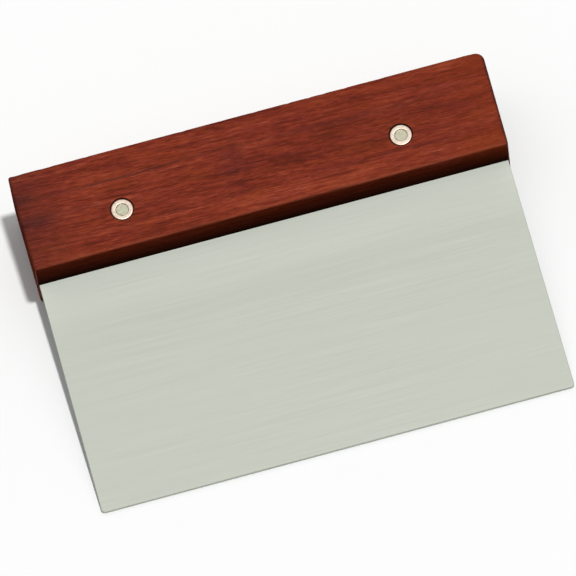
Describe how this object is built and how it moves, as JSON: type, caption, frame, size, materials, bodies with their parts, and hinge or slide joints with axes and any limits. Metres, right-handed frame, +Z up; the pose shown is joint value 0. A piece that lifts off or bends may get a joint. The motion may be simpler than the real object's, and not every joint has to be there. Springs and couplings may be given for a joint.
{
  "type": "bench scraper",
  "caption": "Flat rectangular stainless blade held along one long side in a riveted wooden handle, for cutting dough and scraping a bench.",
  "frame": {"origin": "bottom centre of the bounding box, on the bench the scraper lies on", "axes": "+X along the cutting edge and the handle, +Y from the cutting edge towards the handle, +Z up. The scraper lies as it comes to rest on a bench, front face up, on the lower back edge of its handle and on its cutting edge, so the blade's front face leans 9.29 degrees from +Z towards -Y"},
  "size_m": [0.1542, 0.1128, 0.032],
  "materials": {
    "blade_steel": "fine satin ground stainless steel",
    "handle_wood": "red-brown straight-grained hardwood, thin satin lacquer",
    "rivet_metal": "satin, pale and slightly warm, dulled pin ends"
  },
  "bodies": {
    "root": {"blade": "blade_steel", "front_scale": "handle_wood", "rear_scale": "handle_wood", "left_rivet_sleeve": "rivet_metal", "left_rivet_pin": "rivet_metal", "right_rivet_sleeve": "rivet_metal", "right_rivet_pin": "rivet_metal"}
  },
  "joints": []
}
